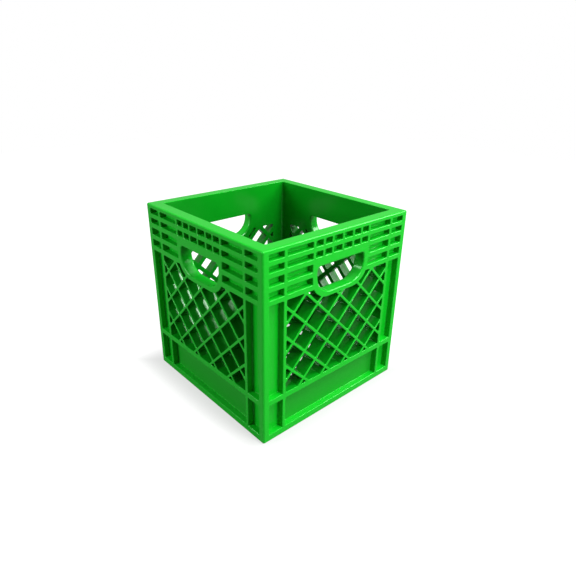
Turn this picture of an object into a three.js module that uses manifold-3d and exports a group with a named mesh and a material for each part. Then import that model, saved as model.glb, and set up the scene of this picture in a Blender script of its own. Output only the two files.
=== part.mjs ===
import * as THREE from 'three';
import { mergeVertices } from 'three/addons/utils/BufferGeometryUtils.js';
import Module from 'manifold-3d';

// Stackable storage crate, moulded in one shot from bright green polyethylene.
// Four alike walls stand on a square base. From the top down each wall has a rim, two rows of
// blind vents, a beam, two rows of blind panels beside a D-shaped hand hold, an open diamond
// lattice and a closed lower panel. A recessed bay runs up either side of every corner.
// The moulding is given here as its named regions. They meet face to face on planes that run
// through the middle of a rib, where the wall is solid from its outer to its inner face.
// Millimetres, +Z up, +Y to the back, origin on the ground under the middle of the crate.

// Overall size
const SIDE = 330;
const HEIGHT = 334.7;
const WALL = 22;
const POCKET_DEPTH = 11;
const CORNER_ROUND = 3.4;
const INNER_CORNER_ROUND = 4;

// Heights of the bands of a wall, listed from the rim down and then from the ground up
const RIM_BAND = 7.4;
const VENT_HEIGHT = 9.7;
const VENT_RIB = 8.2;
const BEAM = 9;
const PANEL_HEIGHT = 12.6;
const BASE_RIB = 12.7;
const LOWER_PANEL_HEIGHT = 57.3;
const LEDGE = 10.4;

// Widths along a wall, from the corner inwards
const POST = 12;
const BAY = 28.4;
const STILE = 6.5;

// Vents over the hand hold, from the middle of the wall outwards
const VENT_BAR = 4.6;
const VENT_WIDTHS = [19, 15.1, 15.1];

// Hand hold: the boss and the hole through it. The hole narrows and its top slopes down towards
// the goods. There its sides and its bottom open out in a wide lip, and its top in a small brow.
const BOSS_WIDTH = 132.8;
const BOSS_DROP = 72.4;
const BOSS_ROUND = 38;
const HOLE_WIDTH = 110.2;
const HOLE_HEIGHT = 48;
const HOLE_DROP = 16.2;
const HOLE_UPPER_ROUND = 7;
const HOLE_LOWER_ROUND = 33;
const HOLE_NARROWING = 1.2;
const HOLE_SLOPE = 5.2;
const HOLE_EDGE_ROUND = 2.4;
const HOLE_LIP = 4.6;
const HOLE_BROW = 1.6;

// Diamond lattice. Its cells draw in towards the goods, so that the fins are wider there.
const DIAMOND = 52.1;
const LATTICE_RISE = -0.6;
const FIN_WIDTH = 4.4;
const CELL_DRAFT = 2.3;

// Edges
const POCKET_EDGE = 1.1;
const POCKET_DRAFT = 0.4;
const RIM_ROUND = 2.6;
const RIM_INNER_ROUND = 0.9;
const FOOT_ROUND = 1.5;

// Floor
const FLOOR_LIFT = 3;
const FLOOR_THICKNESS = 7;
const FLOOR_EDGE = 9;
const FLOOR_BAR = 4.4;
const FLOOR_CELLS = 11;

// Clearance between regions that meet on a curved face
const SEAM_GAP = 0.3;

// Finish
const GREEN = 0x1fbf3c;
const ROUGHNESS = 0.42;

// Facets
const CORNER_STEPS = 4;
const BOSS_STEPS = 7;
const EDGE_STEPS = 3;

// Places that follow from the sizes
const half = SIDE / 2;
const innerHalf = half - WALL;
const rimBottom = HEIGHT - RIM_BAND;
const ventRows = [
  [rimBottom - VENT_HEIGHT, rimBottom],
  [rimBottom - 2 * VENT_HEIGHT - VENT_RIB, rimBottom - VENT_HEIGHT - VENT_RIB],
];
const upperBeamTop = ventRows[1][0];
const upperPanelTop = upperBeamTop - BEAM;
const panelRows = [
  [upperPanelTop - PANEL_HEIGHT, upperPanelTop],
  [upperPanelTop - 2 * PANEL_HEIGHT - BEAM, upperPanelTop - PANEL_HEIGHT - BEAM],
];
const windowTop = panelRows[1][0] - BEAM;
const ledgeBottom = BASE_RIB + LOWER_PANEL_HEIGHT;
const windowBottom = ledgeBottom + LEDGE;
const bayOuter = half - POST;
const bayInner = bayOuter - BAY;
const windowHalf = bayInner - STILE;
const bossHalf = BOSS_WIDTH / 2;
const bossBottom = upperBeamTop - BOSS_DROP;
const holeTop = upperBeamTop - HOLE_DROP;
const holeBottom = holeTop - HOLE_HEIGHT;
const holeLowerRound = Math.min(HOLE_LOWER_ROUND, HOLE_HEIGHT - HOLE_SLOPE - HOLE_UPPER_ROUND);

// Lattice crossings lie on a chequer of this half pitch, one of them under the middle of the hand hold
const pitch = DIAMOND / 2;
const topCrossing = windowTop + LATTICE_RISE;
const middleCrossing = topCrossing - pitch;

// Planes where the regions of the moulding meet
const rimSeam = rimBottom + RIM_BAND / 2;
const beamSeam = upperBeamTop - BEAM / 2;
const crossingRowsDown = Math.ceil((topCrossing - bossBottom) / pitch);
const latticeSeam = topCrossing - crossingRowsDown * pitch;
const ledgeSeam = ledgeBottom + LEDGE / 2;
const baseSeam = BASE_RIB / 2;
const stileSeam = windowHalf + STILE / 2;

// Spare length that takes a cutter clear of the faces it cuts
const OVERRUN = 5;

const wasm = await Module();
wasm.setup();

// Closed solid from a geometry, after its split corners are joined
function toSolid(geometry) {
  geometry.deleteAttribute('normal');
  geometry.deleteAttribute('uv');
  const merged = mergeVertices(geometry);
  return new wasm.Manifold(new wasm.Mesh({
    numProp: 3,
    vertProperties: merged.attributes.position.array,
    triVerts: new Uint32Array(merged.index.array),
  }));
}

// Geometry from a solid
function toGeometry(solid) {
  const mesh = solid.getMesh();
  const geometry = new THREE.BufferGeometry();
  geometry.setAttribute('position', new THREE.BufferAttribute(mesh.vertProperties, 3));
  geometry.setIndex(new THREE.BufferAttribute(mesh.triVerts, 1));
  geometry.computeVertexNormals();
  return geometry;
}

// Sum of a list of solids
function join(solids) {
  return solids.reduce((sum, solid) => sum.add(solid));
}

// Box between two corners
function box(low, high) {
  const size = high.map((value, axis) => value - low[axis]);
  const middle = high.map((value, axis) => (value + low[axis]) / 2);
  return toSolid(new THREE.BoxGeometry(...size).translate(...middle));
}

// Points on an arc about a centre, from one angle to another
function arc(x, y, radius, from, to, steps) {
  const points = [];
  for (let step = 0; step <= steps; step += 1) {
    const angle = from + ((to - from) * step) / steps;
    points.push(new THREE.Vector2(x + radius * Math.cos(angle), y + radius * Math.sin(angle)));
  }
  return points;
}

// Plain rectangle
function rectangle(x0, x1, y0, y1) {
  return [[x1, y0], [x1, y1], [x0, y1], [x0, y0]].map(([x, y]) => new THREE.Vector2(x, y));
}

// Rectangle with round corners, whose lower and upper pairs have a radius and a step count each
function roundedRectangle(x0, x1, y0, y1, lower, upper) {
  const quarter = Math.PI / 2;
  const [low, lowSteps] = lower;
  const [high, highSteps] = upper;
  return [
    ...arc(x1 - low, y0 + low, low, -quarter, 0, lowSteps),
    ...arc(x1 - high, y1 - high, high, 0, quarter, highSteps),
    ...arc(x0 + high, y1 - high, high, quarter, 2 * quarter, highSteps),
    ...arc(x0 + low, y0 + low, low, 2 * quarter, 3 * quarter, lowSteps),
  ];
}

// Square about the origin with round corners
function roundedSquare(reach, round) {
  const corner = [round, CORNER_STEPS];
  return roundedRectangle(-reach, reach, -reach, reach, corner, corner);
}

// Skin through outlines of equal point count, each at its own level along Z. An open loft is
// capped at both ends, and a ring closes from its last outline back to its first.
function loft(sections, ring = false) {
  const count = sections[0].outline.length;
  const positions = sections.flatMap(({ outline, level }) => (
    outline.flatMap((point) => [point.x, point.y, level])
  ));
  const index = [];
  const bands = ring ? sections.length : sections.length - 1;
  for (let band = 0; band < bands; band += 1) {
    const lower = band * count;
    const upper = ((band + 1) % sections.length) * count;
    for (let at = 0; at < count; at += 1) {
      const next = (at + 1) % count;
      index.push(lower + at, lower + next, upper + next);
      index.push(lower + at, upper + next, upper + at);
    }
  }
  if (!ring) {
    const last = (sections.length - 1) * count;
    THREE.ShapeUtils.triangulateShape(sections[0].outline, []).forEach(([a, b, c]) => {
      index.push(c, b, a);
    });
    THREE.ShapeUtils.triangulateShape(sections.at(-1).outline, []).forEach(([a, b, c]) => {
      index.push(last + a, last + b, last + c);
    });
  }
  const geometry = new THREE.BufferGeometry();
  geometry.setAttribute('position', new THREE.Float32BufferAttribute(positions, 3));
  geometry.setIndex(index);
  return geometry;
}

// Stands a shape drawn flat up against the front wall. In the drawing X runs along the wall, Y is
// up and Z points out of the outer face, so a depth into the wall is a level below zero.
function standOnWall(geometry) {
  return geometry.rotateX(Math.PI / 2).translate(0, -half, 0);
}

// Straight prism through the front wall, from one depth below its outer face to another
function wallPrism(outline, fromDepth, toDepth) {
  return toSolid(standOnWall(loft([
    { outline, level: -toDepth },
    { outline, level: -fromDepth },
  ])));
}

// Box through the front wall, given by its span along the wall, its heights and its depths
function wallBox(x0, x1, z0, z1, fromDepth, toDepth) {
  return wallPrism(rectangle(x0, x1, z0, z1), fromDepth, toDepth);
}

// Prism right through the front wall that tapers from one outline at the outer face to another at
// the inner face
function wallTaper(outer, inner) {
  return toSolid(standOnWall(loft([
    { outline: inner, level: -WALL - OVERRUN },
    { outline: inner, level: -WALL },
    { outline: outer, level: 0 },
    { outline: outer, level: OVERRUN },
  ])));
}

// Cutter for a blind pocket. Its mouth is eased and its sides draw in towards its floor.
function pocket(x0, x1, z0, z1) {
  const grown = (by) => rectangle(x0 - by, x1 + by, z0 - by, z1 + by);
  return toSolid(standOnWall(loft([
    { outline: grown(-POCKET_DRAFT), level: -POCKET_DEPTH },
    { outline: grown(0), level: -POCKET_EDGE },
    { outline: grown(POCKET_EDGE), level: 0 },
    { outline: grown(POCKET_EDGE), level: OVERRUN },
  ])));
}

// Outline of the hand hold at one depth, with its sides and its bottom moved out and its top moved up
function holeOutline(depth, out, up) {
  const share = depth / WALL;
  const reach = HOLE_WIDTH / 2 + out - share * HOLE_NARROWING;
  return roundedRectangle(
    -reach, reach, holeBottom - out, holeTop + up - share * HOLE_SLOPE,
    [holeLowerRound + out, BOSS_STEPS], [HOLE_UPPER_ROUND + up, CORNER_STEPS],
  );
}

// Cutter for the hand hold, with rounded edges at the outer and the inner face
function handHole() {
  const mouth = [];
  const lip = [];
  for (let step = 0; step <= EDGE_STEPS; step += 1) {
    const angle = (Math.PI / 2) * (step / EDGE_STEPS);
    const deepening = 1 - Math.cos(angle);
    const remaining = 1 - Math.sin(angle);
    const mouthOut = HOLE_EDGE_ROUND * remaining;
    const mouthDepth = HOLE_EDGE_ROUND * deepening;
    const lipDepth = WALL - HOLE_LIP * remaining;
    mouth.push({ outline: holeOutline(mouthDepth, mouthOut, mouthOut), level: -mouthDepth });
    lip.push({
      outline: holeOutline(lipDepth, HOLE_LIP * deepening, HOLE_BROW * deepening),
      level: -lipDepth,
    });
  }
  return toSolid(standOnWall(loft([
    { outline: lip.at(-1).outline, level: -WALL - OVERRUN },
    ...lip.reverse(),
    ...mouth.reverse(),
    { outline: mouth.at(-1).outline, level: OVERRUN },
  ])));
}

// The boss right through the wall, grown by a clearance
function bossBlock(by) {
  const outline = (grown) => roundedRectangle(
    -bossHalf - grown, bossHalf + grown, bossBottom - grown, upperBeamTop,
    [BOSS_ROUND + grown, BOSS_STEPS], [SEAM_GAP, 1],
  );
  return wallTaper(outline(by), outline(by + CELL_DRAFT));
}

// Width of the window that a line of the lattice spans. The line crosses the row of the middle
// crossing at x and climbs to the right (slope 1) or to the left (slope -1).
function spannedWidth(x, slope) {
  const ends = [windowBottom, windowTop].map((z) => x + slope * (z - middleCrossing));
  return Math.min(Math.max(...ends), windowHalf) - Math.max(Math.min(...ends), -windowHalf);
}

// Fins of the lattice, both ways across the window, before the window trims them. A line that
// only nicks a corner of the window is left out.
function fins() {
  const reach = windowHalf + windowTop - windowBottom;
  const last = Math.ceil(reach / DIAMOND);
  const section = (level) => {
    const width = FIN_WIDTH - (2 * CELL_DRAFT * level) / WALL;
    return { outline: rectangle(-2 * reach, 2 * reach, -width / 2, width / 2), level };
  };
  const bars = [];
  for (let column = -last; column <= last; column += 1) {
    [-1, 1].forEach((slope) => {
      const x = column * DIAMOND;
      if (spannedWidth(x, slope) > FIN_WIDTH) {
        const bar = loft([section(-WALL - 2 * OVERRUN), section(2 * OVERRUN)]);
        bar.rotateZ((slope * Math.PI) / 4).translate(x, middleCrossing, 0);
        bars.push(toSolid(standOnWall(bar)));
      }
    });
  }
  return join(bars);
}

// Spans of the vents of one row along the wall, the six short ones and the two long ones
function ventSpans() {
  const spans = [];
  let from = VENT_BAR / 2;
  VENT_WIDTHS.forEach((width) => {
    spans.push([from, from + width], [-from - width, -from]);
    from += width + VENT_BAR;
  });
  spans.push([bossHalf, windowHalf], [-windowHalf, -bossHalf]);
  return spans;
}

// The front wall between two stile seams, whole
function wholeWall() {
  const slab = wallBox(-stileSeam, stileSeam, baseSeam, rimSeam, 0, WALL);
  const pockets = [pocket(-windowHalf, windowHalf, BASE_RIB, ledgeBottom)];
  ventRows.forEach(([z0, z1]) => {
    ventSpans().forEach(([x0, x1]) => pockets.push(pocket(x0, x1, z0, z1)));
  });
  panelRows.forEach(([z0, z1]) => {
    pockets.push(pocket(bossHalf, windowHalf, z0, z1));
    pockets.push(pocket(-windowHalf, -bossHalf, z0, z1));
  });
  const window = (inset) => rectangle(
    -windowHalf + inset, windowHalf - inset, windowBottom + inset, windowTop - inset,
  );
  const cells = wallTaper(window(0), window(CELL_DRAFT)).subtract(bossBlock(0)).subtract(fins());
  return slab.subtract(join(pockets)).subtract(cells).subtract(handHole());
}

// The front wall cut into its regions
function wallRegions() {
  const wall = wholeWall();
  const band = (z0, z1, x0 = -half, x1 = half) => wall.intersect(
    wallBox(x0, x1, z0, z1, -OVERRUN, WALL + OVERRUN),
  );
  const stub = wallBox(-pitch, pitch, latticeSeam, upperBeamTop, -OVERRUN, WALL + OVERRUN);
  const gripRegion = bossBlock(0).add(stub);
  const gripClearance = bossBlock(SEAM_GAP);
  return {
    vent_band: band(beamSeam, rimSeam),
    hand_grip: band(latticeSeam, beamSeam).intersect(gripRegion),
    left_shoulder: band(latticeSeam, beamSeam, -half, -pitch).subtract(gripClearance),
    right_shoulder: band(latticeSeam, beamSeam, pitch, half).subtract(gripClearance),
    lattice: band(ledgeSeam, latticeSeam),
    lower_panel: band(baseSeam, ledgeSeam),
  };
}

// Corner column between the front and the right wall, with a bay on either face
function cornerColumn() {
  const plan = [
    new THREE.Vector2(stileSeam, -half),
    ...arc(half - CORNER_ROUND, -half + CORNER_ROUND, CORNER_ROUND, -Math.PI / 2, 0, CORNER_STEPS),
    new THREE.Vector2(half, -stileSeam),
    new THREE.Vector2(innerHalf, -stileSeam),
    ...arc(
      innerHalf - INNER_CORNER_ROUND, -innerHalf + INNER_CORNER_ROUND, INNER_CORNER_ROUND,
      0, -Math.PI / 2, CORNER_STEPS,
    ),
    new THREE.Vector2(stileSeam, -innerHalf),
  ];
  const column = toSolid(loft([
    { outline: plan, level: baseSeam },
    { outline: plan, level: rimSeam },
  ]));
  const rows = [...ventRows, ...panelRows, [windowBottom, windowTop], [BASE_RIB, ledgeBottom]];
  const frontBay = rows.map(([z0, z1]) => pocket(bayInner, bayOuter, z0, z1));
  const rightBay = rows.map(([z0, z1]) => pocket(-bayOuter, -bayInner, z0, z1).rotate([0, 0, 90]));
  return column.subtract(join([...frontBay, ...rightBay]));
}

// Square ring as thick as the wall, swept from a profile of depths below the outer face and
// heights. The profile runs up the outer face and down the inner one.
function squareRing(profile) {
  const sections = profile.map(([depth, level]) => {
    const reach = half - depth;
    const round = CORNER_ROUND + ((INNER_CORNER_ROUND - CORNER_ROUND) * depth) / WALL;
    return { outline: roundedSquare(reach, round), level };
  });
  return loft(sections, true);
}

// Rim: the cap of the walls, well rounded outside and eased inside
function rim() {
  const outer = arc(RIM_ROUND, HEIGHT - RIM_ROUND, RIM_ROUND, Math.PI, Math.PI / 2, EDGE_STEPS);
  const inner = arc(
    WALL - RIM_INNER_ROUND, HEIGHT - RIM_INNER_ROUND, RIM_INNER_ROUND, Math.PI / 2, 0, EDGE_STEPS,
  );
  const crown = [...outer, ...inner].map((point) => [point.x, point.y]);
  return squareRing([[WALL, rimSeam], [0, rimSeam], ...crown]);
}

// Foot: the ring that the crate stands on, eased along both edges
function foot() {
  const outer = arc(FOOT_ROUND, FOOT_ROUND, FOOT_ROUND, Math.PI, Math.PI * 1.5, EDGE_STEPS);
  const inner = arc(WALL - FOOT_ROUND, FOOT_ROUND, FOOT_ROUND, -Math.PI / 2, 0, EDGE_STEPS);
  const sole = [...outer, ...inner].map((point) => [point.x, point.y]);
  return squareRing([[0, baseSeam], ...sole, [WALL, baseSeam]].reverse());
}

// Floor: an open grid of square holes inside a plain margin
function floorGrid() {
  const round = INNER_CORNER_ROUND + SEAM_GAP;
  const margin = roundedSquare(innerHalf, round);
  const top = FLOOR_LIFT + FLOOR_THICKNESS;
  const plate = toSolid(loft([
    { outline: margin, level: FLOOR_LIFT },
    { outline: margin, level: top },
  ]));
  const gridHalf = innerHalf - FLOOR_EDGE;
  const cell = (2 * gridHalf - (FLOOR_CELLS - 1) * FLOOR_BAR) / FLOOR_CELLS;
  const holes = [];
  for (let row = 0; row < FLOOR_CELLS; row += 1) {
    for (let column = 0; column < FLOOR_CELLS; column += 1) {
      const x = -gridHalf + column * (cell + FLOOR_BAR);
      const y = -gridHalf + row * (cell + FLOOR_BAR);
      holes.push(box([x, y, FLOOR_LIFT - OVERRUN], [x + cell, y + cell, top + OVERRUN]));
    }
  }
  return plate.subtract(join(holes));
}

// Named mesh in the crate's green
function mesh(name, geometry) {
  const material = new THREE.MeshStandardMaterial({
    color: GREEN,
    roughness: ROUGHNESS,
    metalness: 0,
    flatShading: true,
  });
  const result = new THREE.Mesh(geometry, material);
  result.name = name;
  return result;
}

// Whole quarter turns about Z, with whole numbers as entries so that seams stay exact
function quarterTurns(turns) {
  const cosine = [1, 0, -1, 0][turns];
  const sine = [0, 1, 0, -1][turns];
  return new THREE.Matrix4().set(
    cosine, -sine, 0, 0,
    sine, cosine, 0, 0,
    0, 0, 1, 0,
    0, 0, 0, 1,
  );
}

// Copies a set of named regions round the four sides, one quarter turn each
function placeAround(regions, sides) {
  return sides.flatMap((side, turns) => Object.entries(regions).map(([region, geometry]) => (
    mesh(`${side}_${region}`, geometry.clone().applyMatrix4(quarterTurns(turns)))
  )));
}

const wallGeometries = Object.fromEntries(
  Object.entries(wallRegions()).map(([region, solid]) => [region, toGeometry(solid)]),
);
const columnGeometry = toGeometry(cornerColumn());

const crate = new THREE.Group();
crate.add(mesh('rim', toGeometry(toSolid(rim()))));
crate.add(...placeAround(wallGeometries, ['front', 'right', 'back', 'left']));
crate.add(...placeAround(
  { corner_column: columnGeometry },
  ['front_right', 'back_right', 'back_left', 'front_left'],
));
crate.add(mesh('foot', toGeometry(toSolid(foot()))));
crate.add(mesh('floor_grid', toGeometry(floorGrid())));

export default crate;
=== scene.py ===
"""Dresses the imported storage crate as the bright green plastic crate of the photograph.

Each wall is dressed by three pieces, each corner by one, and the rim, the foot and the floor by
one each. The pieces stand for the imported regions, meet on the same planes and add the rounded
edges, the draft and the finish of the moulding.

Shapes are drawn in millimetres. A wall is drawn flat: X runs along it, Y is the height above the
ground, and Z points out of its outer face, so a depth into the wall is a level below zero.
"""

import logging
import math
from collections import defaultdict
from dataclasses import dataclass, field
from enum import Enum
from typing import Callable, Iterable

import bmesh
import bpy
from bmesh.types import BMEdge, BMFace, BMVert
from bpy.types import ID, Material, Node, NodeSocket, Object, World
from mathutils import Matrix, Vector


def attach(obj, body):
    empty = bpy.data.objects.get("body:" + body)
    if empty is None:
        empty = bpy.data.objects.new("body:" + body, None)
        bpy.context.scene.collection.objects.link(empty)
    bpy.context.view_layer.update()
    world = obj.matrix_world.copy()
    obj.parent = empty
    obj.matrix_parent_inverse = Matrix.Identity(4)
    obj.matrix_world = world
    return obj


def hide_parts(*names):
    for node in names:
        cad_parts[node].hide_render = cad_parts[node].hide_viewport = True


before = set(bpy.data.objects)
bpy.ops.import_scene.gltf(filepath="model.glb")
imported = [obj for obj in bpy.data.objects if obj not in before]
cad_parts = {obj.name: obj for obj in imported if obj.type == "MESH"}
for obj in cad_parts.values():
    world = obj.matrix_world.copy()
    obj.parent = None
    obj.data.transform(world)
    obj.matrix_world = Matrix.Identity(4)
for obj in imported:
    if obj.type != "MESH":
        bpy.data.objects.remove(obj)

LOG = logging.getLogger("crate")
BODY = "root"
MILLIMETRE = 0.001
QUARTER_TURN = math.pi / 2
WHITE = (1.0, 1.0, 1.0, 1.0)

MERGE = 0.002  # Points closer than this are one, in millimetres.
SHORT = 1.0  # A cell's outline does without shorter edges, in millimetres.
CORNER = math.radians(20)  # A line that bends more than this has a corner there.
BLUNT = math.radians(160)  # Edges that meet at a wider angle than this get no round.
EDGE_SHARE = 0.45  # The most of an edge's length that a round takes.
SHARP = math.radians(40)  # Edges that bend more than this are shaded sharp.
FLAT = 0.99999  # A face is flat where its normal lies this much along one axis.
FACE_STRENGTH = "__mod_weightednormals_faceweight"  # Where the modifier reads a face's strength.
STRONG = 16384  # The strength of a face that alone sets the normals of its corners.

Pair = tuple[float, float]
Triple = tuple[float, float, float]


class Place(Enum):
    """A place round the crate, and how many quarter turns bring the first one there."""

    @property
    def word(self) -> str:
        """The place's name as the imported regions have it."""
        return self.name.lower()


class Side(Place):
    """A wall of the crate."""

    FRONT = 0
    RIGHT = 1
    BACK = 2
    LEFT = 3


class Corner(Place):
    """A corner of the crate."""

    FRONT_RIGHT = 0
    BACK_RIGHT = 1
    BACK_LEFT = 2
    FRONT_LEFT = 3


class Finish(Enum):
    """The surfaces that the mould leaves.

    The mould leaves the closed lower panels textured; their colour, and that of the lattice cells,
    is darker as painted shade.
    """

    SATIN = 0
    TEXTURED = 1
    CELL_PAINTED_SHADE = 2


@dataclass(frozen=True)
class Span:
    """A rectangle on a wall: its reach along the wall and its heights."""

    x0: float
    x1: float
    y0: float
    y1: float

    @classmethod
    def square(cls, reach: float) -> "Span":
        """A square round the middle of the drawing."""
        return cls(-reach, reach, -reach, reach)

    def grown(self, by: float) -> "Span":
        """The rectangle with every side moved out."""
        return Span(self.x0 - by, self.x1 + by, self.y0 - by, self.y1 + by)

    @property
    def corners(self) -> list[Pair]:
        """The four corners, anticlockwise from the lower left."""
        return [(self.x0, self.y0), (self.x1, self.y0), (self.x1, self.y1), (self.x0, self.y1)]


@dataclass(frozen=True)
class Sizes:
    """The crate's sizes in millimetres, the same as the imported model's."""

    side: float = 330.0
    height: float = 334.7
    wall: float = 22.0
    recess: float = 11.0
    corner_round: float = 3.4
    inner_corner_round: float = 4.0
    rim_band: float = 7.4
    vent_height: float = 9.7
    vent_rib: float = 8.2
    beam: float = 9.0
    panel_height: float = 12.6
    base_rib: float = 12.7
    lower_panel_height: float = 57.3
    ledge: float = 10.4
    post: float = 12.0
    bay: float = 28.4
    stile: float = 6.5
    vent_bar: float = 4.6
    vent_widths: tuple[float, ...] = (19.0, 15.1, 15.1)
    boss_width: float = 132.8
    boss_drop: float = 72.4
    boss_round: float = 38.0
    hole_width: float = 110.2
    hole_height: float = 48.0
    hole_drop: float = 16.2
    hole_upper_round: float = 7.0
    hole_lower_round: float = 33.0
    hole_narrowing: float = 1.2
    hole_slope: float = 5.2
    diamond: float = 52.1
    lattice_rise: float = -0.6
    fin_width: float = 4.4
    cell_draft: float = 2.3
    floor_lift: float = 3.0
    floor_thickness: float = 7.0
    floor_edge: float = 9.0
    floor_bar: float = 4.4
    floor_cells: int = 11
    floor_corner_play: float = 0.3

    @property
    def half(self) -> float:
        """Half the crate's outer width."""
        return self.side / 2

    @property
    def inner_half(self) -> float:
        """Half the width between the inner faces."""
        return self.half - self.wall

    @property
    def rim_bottom(self) -> float:
        """Height of the rim band's lower edge."""
        return self.height - self.rim_band

    @property
    def vent_rows(self) -> list[Pair]:
        """Heights of the two rows of vents, the upper one first."""
        return self._two_rows(self.rim_bottom, self.vent_height, self.vent_rib)

    @property
    def upper_beam_top(self) -> float:
        """Height at which the beam under the vents starts."""
        return self.vent_rows[1][0]

    @property
    def panel_rows(self) -> list[Pair]:
        """Heights of the two rows of blind panels beside the hand hold, the upper one first."""
        return self._two_rows(self.upper_beam_top - self.beam, self.panel_height, self.beam)

    @property
    def window_top(self) -> float:
        """Height of the lattice window's upper edge."""
        return self.panel_rows[1][0] - self.beam

    @property
    def ledge_bottom(self) -> float:
        """Height of the lower panel's upper edge."""
        return self.base_rib + self.lower_panel_height

    @property
    def window_bottom(self) -> float:
        """Height of the lattice window's lower edge."""
        return self.ledge_bottom + self.ledge

    @property
    def bay_outer(self) -> float:
        """Distance from the wall's middle to the bay's side at the corner post."""
        return self.half - self.post

    @property
    def bay_inner(self) -> float:
        """Distance from the wall's middle to the bay's other side."""
        return self.bay_outer - self.bay

    @property
    def window_half(self) -> float:
        """Half the width of the lattice window."""
        return self.bay_inner - self.stile

    @property
    def boss_half(self) -> float:
        """Half the width of the hand hold's boss."""
        return self.boss_width / 2

    @property
    def boss_bottom(self) -> float:
        """Height of the boss's lowest edge."""
        return self.upper_beam_top - self.boss_drop

    @property
    def rim_seam(self) -> float:
        """Height at which the walls meet the rim."""
        return self.rim_bottom + self.rim_band / 2

    @property
    def beam_seam(self) -> float:
        """Height at which the vent band meets the pieces below it."""
        return self.upper_beam_top - self.beam / 2

    @property
    def ledge_seam(self) -> float:
        """Height at which the lattice meets the lower panel."""
        return self.ledge_bottom + self.ledge / 2

    @property
    def base_seam(self) -> float:
        """Height at which the walls meet the foot."""
        return self.base_rib / 2

    @property
    def stile_seam(self) -> float:
        """Distance from the wall's middle at which it meets the corner columns."""
        return self.window_half + self.stile / 2

    @property
    def middle_crossing(self) -> float:
        """Height of the lattice crossing under the middle of the hand hold."""
        return self.window_top + self.lattice_rise - self.diamond / 2

    @property
    def hole(self) -> Span:
        """The hand hold's opening."""
        top, reach = self.upper_beam_top - self.hole_drop, self.hole_width / 2
        return Span(-reach, reach, top - self.hole_height, top)

    def vent_spans(self) -> list[Span]:
        """Every vent of both rows.

        Returns:
            The short vents over the hand hold and the long ones beside it.
        """
        reaches: list[Pair] = []
        start = self.vent_bar / 2
        for width in self.vent_widths:
            reaches.append((start, start + width))
            start += width + self.vent_bar
        reaches.append((self.boss_half, self.window_half))
        reaches += [(-far, -near) for near, far in reaches]
        return [Span(x0, x1, y0, y1) for y0, y1 in self.vent_rows for x0, x1 in reaches]

    def bay_spans(self) -> list[Span]:
        """Every recess of the bay beside the corner post on the wall's right.

        Returns:
            The recesses from the top row down to the lower panel's.
        """
        window = (self.window_bottom, self.window_top)
        rows = [*self.vent_rows, *self.panel_rows, window, (self.base_rib, self.ledge_bottom)]
        return [Span(self.bay_inner, self.bay_outer, y0, y1) for y0, y1 in rows]

    @staticmethod
    def _two_rows(top: float, height: float, rib: float) -> list[Pair]:
        """Heights of two rows of openings under a level, with a rib between them."""
        step = height + rib
        return [(top - height - row * step, top - row * step) for row in range(2)]


@dataclass(frozen=True)
class Edges:
    """How the moulding's edges are rounded, in millimetres and in steps of a quarter round.

    Within bend_reach times a pocket's corner radius of a corner, a curve has no points.
    """

    pocket: float = 1.4
    pocket_floor: float = 0.75
    pocket_corner: float = 1.2
    pocket_draft: float = 0.25
    bend_reach: float = 3.5
    fin: float = 1.0
    fin_corner: float = 1.3
    back: float = 0.6
    cell_share: float = 0.3
    grip: float = 2.4
    grip_lip: float = 4.6
    grip_brow: float = 1.6
    rim: float = 2.6
    rim_spread: float = 3.3
    rim_inner: float = 0.9
    foot: float = 1.6
    floor: float = 0.8
    steps: int = 3
    grip_steps: int = 5
    arc_steps: int = 14
    outer_corner_steps: int = 6
    inner_corner_steps: int = 5

    @property
    def mouth_corner(self) -> float:
        """The radius of a pocket's corner where its mouth starts."""
        return self.pocket_corner + self.pocket


def quarter_round(steps: int, start: float = 0.0) -> list[float]:
    """The angles at which the facets of a quarter round end."""
    return [start + QUARTER_TURN * at / steps for at in range(steps + 1)]


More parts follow.
